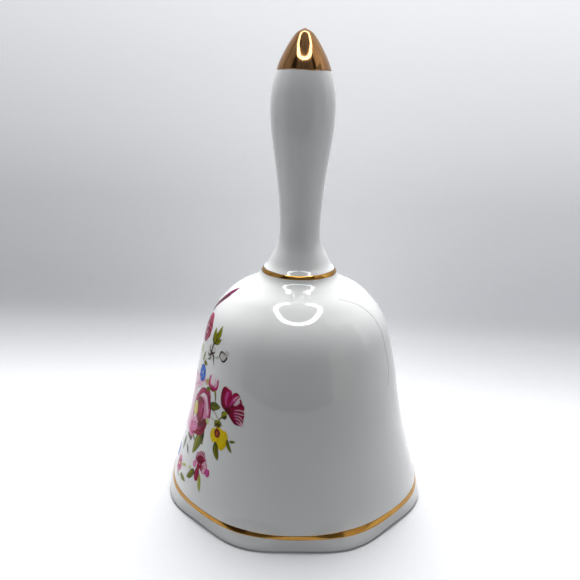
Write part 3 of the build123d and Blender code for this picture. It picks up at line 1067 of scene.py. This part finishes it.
def paint_carnation(p, centre, size, turn=0):
    """Fringed crimson carnation on its round calyx, drawn from the calyx upward."""
    for clock, reach, tone in ((-62, 1.5, PINK), (68, 2.9, ORCHID), (95, 2.7, MAGENTA),
                               (48, 2.7, PINK), (-40, 2.3, MAGENTA)):
        start = spot(centre, turn + clock, 0.3 * size)
        tip = spot(centre, turn + clock, reach * size)
        p.stroke([start, tip], 0.72 * size, tone, SHELL, MAGENTA, veins=(3, WHITE, 0.7))
        fringe = [spot(tip, turn + clock - 90, 0.5 * size), tip,
                  spot(tip, turn + clock + 90, 0.5 * size)]
        p.line(fringe, 0.16 * size, MAGENTA, CRIMSON)
    for clock, reach in ((-48, 2.1), (-28, 2.5), (-8, 2.9), (12, 3.3), (30, 3.0)):
        start = spot(centre, turn + clock * 0.6, 0.2 * size)
        tip = spot(centre, turn + clock, reach * size)
        p.stroke([start, tip], 0.68 * size, WINE, CRIMSON, WINE)
    for i in range(9):
        clock = turn - 52 + 12 * i
        reach = (2.2 + 0.14 * i) * size
        tooth = [spot(centre, clock, reach - 0.75 * size), spot(centre, clock + 3, reach + 0.3 * size)]
        p.line(tooth, 0.12 * size, PINK, WHITE, strength=0.9)
    p.stroke([spot(centre, turn - 80, 1.3 * size), centre, spot(centre, turn + 80, 1.2 * size)],
             0.24 * size, PINK, ORCHID, shape=BAND, strength=0.7)


def paint_lower_flowers(p):
    """Carnation under the rose, its calyx, and the small flowers low on the left."""
    paint_carnation(p, (36.4, 14.9), 1.3, turn=8)
    p.dab((33.2, 14.2), 1.0, 0.95, PINK, ORCHID, clock=40)
    p.dab((43.7, 14.4), 0.95, 1.1, ORCHID, MAGENTA, clock=-20)
    p.line([(44.6, 15.4), (45.2, 14.2), (44.2, 13.2)], 0.2, MAGENTA, CRIMSON)
    p.dab((39, 14.7), 0.8, 0.9, CRIMSON, WINE)
    p.line([(39.2, 15.7), (39.6, 14.8), (39.2, 13.9)], 0.11, PINK, SHELL)
    p.dab((36.5, 14.2), 0.75, 1.0, CRIMSON, WINE)
    p.dab((36.6, 12.2), 1.2, 1.95, CRIMSON, WINE)
    p.stroke([(36.1, 13.4), (36, 12.4), (36.3, 11.4)], 0.22, MAGENTA, CRIMSON, strength=0.7)
    p.leaf((34.2, 12.7), (28.5, 9), 1.05, bend=-0.2)
    p.leaf((30.6, 12.8), (28, 11.2), 0.4, CELERY, LIME, strength=0.6)
    p.leaf((38.9, 12.8), (41.6, 8.1), 0.8, LIME, OLIVE, bend=0.25, strength=0.8)
    p.flower((16.6, 9.1), 5, 2.5, 1.1, CRIMSON, PINK, MAGENTA, turn=20, veins=WHITE_VEINS)
    p.dab((16.6, 9.1), 0.5, 0.5, CREAM, AMBER)
    p.leaf((20.6, 10.2), (26.2, 11.5), 0.5, CELERY, LIME, strength=0.8)
    p.leaf((21.6, 7.8), (28.8, 7.6), 0.72, OLIVE, SAGE, bend=0.1)
    p.line([(17.6, 6.7), (20.4, 6.7), (22.6, 7.6)], 0.15, MOSS, OLIVE)
    paint_blue_flower(p, (7, 10.6), 2.2, 12, strength=0.9)


def paint_lower_leaves(p):
    """Leaves that show from under the rose."""
    p.leaf((34.6, 25.2), (35.9, 20.3), 0.7, MOSS, BROWN, bend=0.3)
    p.leaf((29.6, 23.4), (36.2, 20.3), 1.15, bend=0.3)
    p.leaf((32.6, 23.4), (28.4, 15.9), 1.6, LIME * 0.8, MOSS, bend=-0.2)
    p.leaf((27.8, 19.6), (24, 20.9), 0.55, OLIVE, SAGE)
    p.leaf((25, 19.4), (16.6, 18.6), 1.2, SAGE, BROWN, bend=0.2, strength=0.85)
    p.leaf((16.6, 17.6), (15, 12.7), 1.05, SAGE, MOSS, bend=0.2, strength=0.7)
    p.leaf((20.4, 16.2), (25, 14.4), 0.7, SAGE, MOSS, strength=0.75)
    p.line([(24, 19), (20.6, 16.4), (17, 14.6)], 0.13, MOSS, SAGE, strength=0.8)


def paint_upper_sprays(p):
    """Grey flower, curl, green cluster and the two buds at the top."""
    centre = (28.6, 45.1)
    for clock, reach in ((-55, 2.4), (-5, 2.6), (52, 2.7), (118, 2.6), (190, 2.3), (240, 2.4)):
        p.stroke([centre, spot(centre, clock, reach)], 1.0, GREY, SAGE, strength=0.34)
    for path, width in (([(28, 45), (30.4, 45.2), (32.9, 45.8)], 0.3),
                        ([(28.6, 45.2), (29, 46.9), (31, 47.9), (33.6, 47.8)], 0.28),
                        ([(28.8, 45.2), (26.2, 45.6), (24.8, 46.7)], 0.22),
                        ([(29.4, 45.1), (26.8, 44.2), (24, 44.4)], 0.26),
                        ([(29.2, 45), (28.2, 43.4), (25.6, 42.9)], 0.24),
                        ([(30, 45), (32.6, 44.2), (34, 42.2)], 0.3)):
        p.line(path, width, BROWN)
    p.dab((28.8, 45.1), 0.55, 0.45, BROWN)
    p.stroke([(41, 46.4), (43.6, 47), (46, 47.2)], 0.75, GREY, SAGE, strength=0.45)
    p.dab((41.8, 45.9), 1.7, 1.15, GREY, SAGE, clock=-8, strength=0.45)
    p.line([(38.2, 45.2), (38.4, 46.4), (40.6, 47), (43, 46.5)], 0.27, BROWN)
    p.line([(45, 46.3), (43.4, 45), (40.6, 44.8), (38.3, 45.5)], 0.27, BROWN)
    p.leaf((38.2, 45.3), (33.6, 44.4), 0.4, GREY, SAGE, strength=0.4)
    p.leaf((31.2, 47.7), (26.4, 51.8), 1.3, bend=-0.3)
    p.leaf((31.2, 48.6), (33, 53), 1.05, bend=0.25)
    p.leaf((30.8, 48), (36.8, 49.9), 0.7, bend=0.2)
    p.leaf((18.8, 40.9), (20.9, 44.2), 0.75, OLIVE, SAGE, bend=-0.2, strength=0.85)
    p.leaf((21.4, 40.9), (27.2, 41.3), 0.7, bend=-0.2)
    p.line([(21, 41.4), (23.6, 42.4), (26, 42.9)], 0.13, OLIVE, SAGE)
    p.leaf((16, 42.5), (6, 45), 1.2, SAGE, CELERY, bend=-0.3, strength=0.6)
    paint_blue_flower(p, (22.4, 38.2), 2.4, 34)


def paint_open_rose(p, centre, size, turn):
    """Loose rose seen from the side: pale outer petals round a dark, furled middle."""
    for clock, reach, width in ((-95, 2.5, 1.25), (-140, 2.3, 1.2), (175, 2.2, 1.2), (-50, 2.4, 1.2),
                                (0, 2.3, 1.15), (130, 2.2, 1.15)):
        p.stroke([centre, spot(centre, turn + clock, reach * size)], width * size, CRIMSON, MAGENTA * 0.8,
                 PLUM, veins=(4, PINK, 0.55))
    for clock, reach, width in ((-20, 1.7, 0.85), (35, 2.3, 1.0), (85, 2.5, 1.15), (120, 2.2, 0.95)):
        p.stroke([centre, spot(centre, turn + clock, reach * size)], width * size, WINE, CRIMSON, WINE,
                 veins=(3, PINK, 0.5))
    p.dab(centre, 0.9 * size, 0.75 * size, WINE, CRIMSON)
    for i in range(3):
        clock = turn + 100 + 110 * i
        reach = (0.75 - 0.18 * i) * size
        p.line([spot(centre, clock, reach), spot(centre, clock + 50, reach * 1.05),
                spot(centre, clock + 100, reach)], 0.13 * size, PINK, SHELL)


def paint_far_side(p):
    """The part of the spray round the corner from the camera."""
    p.leaf((2, 37), (-8, 40.5), 1.4, bend=-0.4)
    p.leaf((-2, 33), (-12, 30.6), 1.5, LIME, OLIVE, bend=0.4)
    p.leaf((0, 22), (-8, 17.6), 1.3, bend=0.3)
    p.line([(0, 36), (-8, 35.4), (-17, 37.4), (-21, 41)], 0.2, MOSS, OLIVE)
    p.line([(-2, 26), (-10, 24), (-18, 20)], 0.2, MOSS, OLIVE)
    p.line([(10, 44), (6, 42), (0, 38)], 0.18, OLIVE, MOSS)
    paint_open_rose(p, (11.4, 49.4), 1.75, 5)
    p.stroke([(-0.6, 52.6), (4.6, 56.4), (14.5, 60.4)], 1.15, PLUM * 0.6, PLUM, PLUM * 0.5,
             veins=(3, ORCHID, 0.4))
    p.stroke([(2, 52.6), (7.4, 56.2), (14, 58.9)], 0.6, PLUM * 0.5, PLUM * 0.7, PLUM * 0.5)
    p.line([(4.4, 53.6), (5.2, 55), (7.6, 56.4)], 0.2, BROWN, CRIMSON)
    p.line([(4, 50.6), (5, 52.6), (8, 54.4)], 0.2, BROWN, MOSS)
    p.leaf((-7, 53.4), (-3.4, 56), 0.7)
    p.line([(-4.6, 55.4), (-6, 52.4), (-3, 48)], 0.17, MOSS, OLIVE)
    paint_open_rose(p, (-14, 45.5), 1.5, -150)
    paint_blue_flower(p, (-3.5, 46), 2.0, 10)
    paint_blue_flower(p, (-23, 33.5), 2.1, 40)
    p.leaf((-18, 42), (-26, 46), 1.0, bend=0.3)
    p.leaf((-20, 39), (-28, 38.4), 0.9, LIME, OLIVE, bend=-0.2)
    p.dab((-20.6, 25.4), 1.6, 2.0, YELLOW, AMBER, clock=-25)
    p.dab((-16.8, 25.6), 1.6, 2.0, YELLOW, AMBER, clock=25)
    p.dab((-18.7, 26.4), 1.5, 1.8, YELLOW)
    p.dab((-18.7, 25.2), 0.9, 0.9, RUSSET, ORANGE)
    p.leaf((-22, 23), (-29, 20.4), 0.9, bend=0.2)
    paint_carnation(p, (-17, 16.5), 0.85, turn=-130)
    p.dab((-15, 18.6), 0.9, 1.2, CRIMSON, WINE, clock=50)
    p.leaf((-12, 19), (-5, 14.6), 0.8, LIME, OLIVE, bend=-0.2)
    p.flower((-9, 9.6), 5, 1.9, 0.8, MAGENTA, PINK, CRIMSON, turn=5, veins=WHITE_VEINS)
    p.dab((-9, 9.6), 0.4, 0.4, CREAM, AMBER)
    p.leaf((-6, 10.5), (0, 12.4), 0.6)
    p.line([(-8.6, 11), (-6, 14), (-5, 18)], 0.15, MOSS, OLIVE)


def film_faces(mask, index, count):
    """Faces of a closed film: top and bottom over the masked cells, and its edge."""
    rows, columns = np.nonzero(mask)
    corner = np.stack([index[rows, columns], index[rows, columns + 1],
                       index[rows + 1, columns + 1], index[rows + 1, columns]], 1)
    faces = [tuple(face) for face in corner] + [tuple(face) for face in corner[:, ::-1] + count]
    wide = np.pad(mask, 1)
    sides = (((-1, 0), 0, 1), ((0, 1), 1, 2), ((1, 0), 2, 3), ((0, -1), 3, 0))
    for (down, right), first, second in sides:
        open_side = ~wide[rows + 1 + down, columns + 1 + right]
        a, b = corner[open_side, first], corner[open_side, second]
        faces += [tuple(face) for face in np.stack([b, a, a + count, b + count], 1)]
    return faces


FILM_EDGE = -0.015        # the film's unpainted edge dips under the glaze, in millimetres
FILM_LIFT = 0.028         # rise from that edge to the thinnest enamel
FILM_BODY = 0.02          # extra thickness in the middle of a full stroke
FILM_ROOT = 0.06          # how far the film is bedded into the glaze


def make_enamel():
    """Fired enamel spray: every stroke laid on one thin film over the glaze."""
    p = Painting()
    paint_far_side(p)
    paint_lower_leaves(p)
    paint_rose(p)
    paint_upper_sprays(p)
    paint_bud(p)
    paint_stems(p)
    paint_butterfly_bloom(p)
    paint_yellow_flower(p)
    paint_lower_flowers(p)
    painted = p.cover > 0.02
    mask = painted[:-1, :-1] | painted[1:, :-1] | painted[:-1, 1:] | painted[1:, 1:]
    wide = np.pad(mask, 1)
    mask = wide[:-2, 1:-1] | wide[2:, 1:-1] | wide[1:-1, :-2] | wide[1:-1, 2:] | mask
    # Cells that meet only at a corner are joined, so that the film has no pinched edge.
    for _ in range(4):
        a, b, c, d = mask[:-1, :-1], mask[:-1, 1:], mask[1:, :-1], mask[1:, 1:]
        cross = (a & d & ~b & ~c) | (b & c & ~a & ~d)
        for part in (a, b, c, d):
            part |= cross
    used = np.zeros(p.cover.shape, bool)
    for down in (0, 1):
        for right in (0, 1):
            used[down:down + mask.shape[0], right:right + mask.shape[1]] |= mask
    index = np.cumsum(used.ravel()).reshape(used.shape) - 1
    count = int(used.sum())
    azimuth, height = p.azimuth[used], p.height[used]
    top = on_cup(height, azimuth, FILM_EDGE + FILM_LIFT * p.cover[used] + FILM_BODY * p.depth[used])
    bottom = on_cup(height, azimuth, -FILM_ROOT + 0 * height)
    film = make_object("enamel_spray", np.concatenate([top, bottom]), film_faces(mask, index, count),
                       enamel_film, "bell", "porcelain")
    paint = np.concatenate([p.colour[used], p.cover[used][:, None]], 1)
    set_attribute(film, "paint", "FLOAT_COLOR", np.concatenate([paint, paint]))


make_enamel()


# --- hairline in the glaze ---

# (azimuth, height) along a fine crack on the right of the plain side.
HAIRLINE = [(128.7, 60.8), (139.2, 59.6), (147.9, 57.3), (152.5, 53.9), (153.2, 49.0),
            (153.5, 43.4), (149.6, 37.0)]
HAIRLINE_RADIUS = 0.045


def make_hairline():
    """Fine stained crack that stands just out of the glaze."""
    line = smooth_curve(HAIRLINE, 90)
    shake = hand_wave(9 * line[:, 1], [(0.25, 5, 0.0), (0.18, 11, 1.0)])
    path = on_cup(line[:, 1], line[:, 0] + shake, 0.0)
    make_object("glaze_hairline", *tube(path, HAIRLINE_RADIUS, sides=6), stain, "bell", "porcelain")


make_hairline()


# --- camera ---

CAMERA_AZIMUTH = 88.1     # degrees from -Y towards +X
CAMERA_AWAY = 171.5       # from the bell's axis, in millimetres
CAMERA_HEIGHT = 113.1
CAMERA_DOWN = 17.5        # degrees below level
CAMERA_LEFT = 0.8         # degrees that the view is turned left of the axis
CAMERA_ROLL = 1.2
LENS, SENSOR = 39.4, 36   # millimetres


def make_camera():
    """Camera at the height of the handle's top, looking down at the bell."""
    data = bpy.data.cameras.new("camera")
    data.lens = LENS
    data.sensor_width = SENSOR
    data.clip_start = 0.01
    camera = bpy.data.objects.new("camera", data)
    bpy.context.scene.collection.objects.link(camera)
    camera.location = towards(CAMERA_AZIMUTH, CAMERA_AWAY, CAMERA_HEIGHT) * MM
    heading = math.radians(CAMERA_AZIMUTH + CAMERA_LEFT)
    down = math.radians(CAMERA_DOWN)
    aim = Vector((-math.sin(heading) * math.cos(down), math.cos(heading) * math.cos(down),
                  -math.sin(down)))
    roll = Matrix.Rotation(math.radians(CAMERA_ROLL), 4, "Z")
    camera.matrix_world = (Matrix.Translation(camera.location)
                           @ aim.to_track_quat("-Z", "Y").to_matrix().to_4x4() @ roll)
    bpy.context.scene.camera = camera


make_camera()


# --- stage: floor, backdrop and lights ---

FLOOR_FRONT = 300         # how far the floor reaches towards the camera
FLOOR_GAP = 0.02          # how far the floor lies under the standing rim
WALL_AWAY = 69            # from the bell's axis to the wall
WALL_BEND = 30            # radius of the curve from floor to wall
WALL_HALF = WALL_TOP = 1500
WALL_TURN = 4.4           # degrees that the wall is turned from square to the camera
GLOW_HEIGHT = 200         # height over which the paper's glow is graded
GLOW_SLANT = 0.0012       # share of the glow gained with each millimetre towards +Y
PAPER_GLOW = [(0.0, (0.02, 0.02, 0.022)), (0.1, (0.25, 0.255, 0.27)), (0.2, (0.245, 0.25, 0.265)),
              (0.36, (0.295, 0.30, 0.315)), (0.5, (0.42, 0.425, 0.44)),
              (0.7, (0.57, 0.575, 0.59)), (1.0, (0.7, 0.7, 0.7))]

RING_OUTER, RING_INNER = 111, 85
RING_AHEAD, RING_HEIGHT = 47, 300
RING_GLOW = 14.0

# Cards as (first and last degrees from the camera, lowest and highest millimetres, glow).
CARDS = [(-60, -35, 10, 900, 0.0), (44, 57, 300, 900, 0.0), (38, 62, 0, 170, 0.7),
         (60, 96, 330, 900, 1.1)]
CARD_AWAY = 330

# Lights as (name, place towards the camera, height, height aimed at, size, watts).
LIGHTS = [("top_light", -152, 430, 30, 280, 2.95),
          ("ring_fill", RING_AHEAD, RING_HEIGHT, 90, 200, 0.09)]

# How the surround's strength grows from the camera's side to the far side.
SURROUND = {"From Min": -0.9, "From Max": 0.6, "To Min": 0.13, "To Max": 0.90}
SURROUND_COLOUR = (0.955, 0.965, 1.0, 1)


def make_stage_mesh(name, points, faces, material, *unseen_by):
    """Mesh that is no part of the bell, hidden from some kinds of ray."""
    obj = add_mesh(name, points, faces, material)
    for rays in unseen_by:
        setattr(obj, "visible_" + rays, False)


def make_floor():
    """Pale paper floor that turns up into a wall, clear when seen from under or behind."""
    finish = Finish("paper", Roughness=0.85, Emission_Strength=1.0)
    place = finish.places()
    axes = finish.node("ShaderNodeSeparateXYZ", Vector=place).outputs
    glow = finish.ramp(finish.maths("DIVIDE", axes["Z"], GLOW_HEIGHT), *PAPER_GLOW)
    slant = finish.maths("ADD", finish.maths("MULTIPLY", axes["Y"], GLOW_SLANT), 1.0)
    finish.set(Emission_Color=finish.scaled(glow, slant))
    fibres = finish.noise(place, 1.5, detail=4.0)
    finish.set(Base_Color=finish.mix(fibres, (0.62, 0.625, 0.64), (0.59, 0.595, 0.61)))
    finish.set(Normal=finish.bump(fibres, 0.02))
    behind = finish.node("ShaderNodeNewGeometry").outputs["Backfacing"]
    paper = finish.node("ShaderNodeMixShader", Fac=behind)
    finish.feed(paper.inputs[1], finish.shader.outputs[0])
    finish.feed(paper.inputs[2], finish.node("ShaderNodeBsdfTransparent").outputs[0])
    finish.feed(finish.tree.nodes["Material Output"].inputs["Surface"], paper.outputs[0])
    bend = arc(WALL_AWAY - WALL_BEND, WALL_BEND, WALL_BEND, -90, 0, 13)
    line = [(-FLOOR_FRONT, 0), *bend, (WALL_AWAY, WALL_TOP)]
    turned = CAMERA_AZIMUTH - WALL_TURN
    points = [towards(turned, -away, height - FLOOR_GAP) + towards(turned + 90, side, 0)
              for away, height in line for side in (-WALL_HALF, WALL_HALF)]
    faces = [(i, i + 1, i + 3, i + 2) for i in range(0, 2 * len(line) - 2, 2)]
    make_stage_mesh("paper_floor", points, faces, finish.material, "diffuse", "shadow")


def make_ring_light():
    """Flat ring of light overhead, seen only as a reflection in the glaze."""
    glow = bpy.data.materials.new("ring_glow")
    glow.use_nodes = True
    nodes = glow.node_tree.nodes
    nodes.clear()
    emission = nodes.new("ShaderNodeEmission")
    emission.inputs["Strength"].default_value = RING_GLOW
    output = nodes.new("ShaderNodeOutputMaterial")
    glow.node_tree.links.new(emission.outputs[0], output.inputs[0])
    flat = turned_grid(np.array([(RING_INNER, RING_HEIGHT), (RING_OUTER, RING_HEIGHT)]), 96)
    points = flat.reshape(-1, 3) + towards(CAMERA_AZIMUTH, RING_AHEAD, 0)
    make_stage_mesh("ring_light", points, ring_faces(2, 96), glow, "camera", "diffuse", "shadow")


def make_cards():
    """Dark and pale upright cards beside the camera, seen only as reflections."""
    for first, last, low, high, glow in CARDS:
        card = Finish("card", Base_Color=(0.02, 0.014, 0.01, 1), Roughness=0.9,
                      Emission_Color=(1.0, 0.93, 0.86, 1), Emission_Strength=glow).material
        points = [towards(CAMERA_AZIMUTH + turned, CARD_AWAY, height)
                  for turned, height in ((first, low), (last, low), (last, high), (first, high))]
        make_stage_mesh("card", points, [(0, 1, 2, 3)], card, "camera", "diffuse", "shadow")


def make_lights():
    """Soft round lamps that don't show in the glaze."""
    for name, ahead, height, aim, size, watts in LIGHTS:
        data = bpy.data.lights.new(name, "AREA")
        data.shape = "DISK"
        data.size = size * MM
        data.energy = watts
        light = bpy.data.objects.new(name, data)
        bpy.context.scene.collection.objects.link(light)
        light.location = towards(CAMERA_AZIMUTH, ahead, height) * MM
        way = Vector((0, 0, aim)) * MM - light.location
        light.rotation_euler = way.to_track_quat("-Z", "Y").to_euler()
        light.visible_glossy = False


def make_world():
    """Soft surround, darker on the camera's side of the bell."""
    world = bpy.data.worlds.new("surround")
    bpy.context.scene.world = world
    world.use_nodes = True
    nodes, links = world.node_tree.nodes, world.node_tree.links
    turn = nodes.new("ShaderNodeVectorMath")
    turn.operation = "DOT_PRODUCT"
    turn.inputs[1].default_value = towards(CAMERA_AZIMUTH, -1, 0)
    links.new(nodes.new("ShaderNodeTexCoord").outputs["Generated"], turn.inputs[0])
    ramp = nodes.new("ShaderNodeMapRange")
    for socket, value in SURROUND.items():
        ramp.inputs[socket].default_value = value
    links.new(turn.outputs["Value"], ramp.inputs["Value"])
    links.new(ramp.outputs[0], nodes["Background"].inputs["Strength"])
    nodes["Background"].inputs["Color"].default_value = SURROUND_COLOUR


make_floor()
make_ring_light()
make_cards()
make_world()
make_lights()
bpy.context.scene.view_settings.view_transform = "Standard"
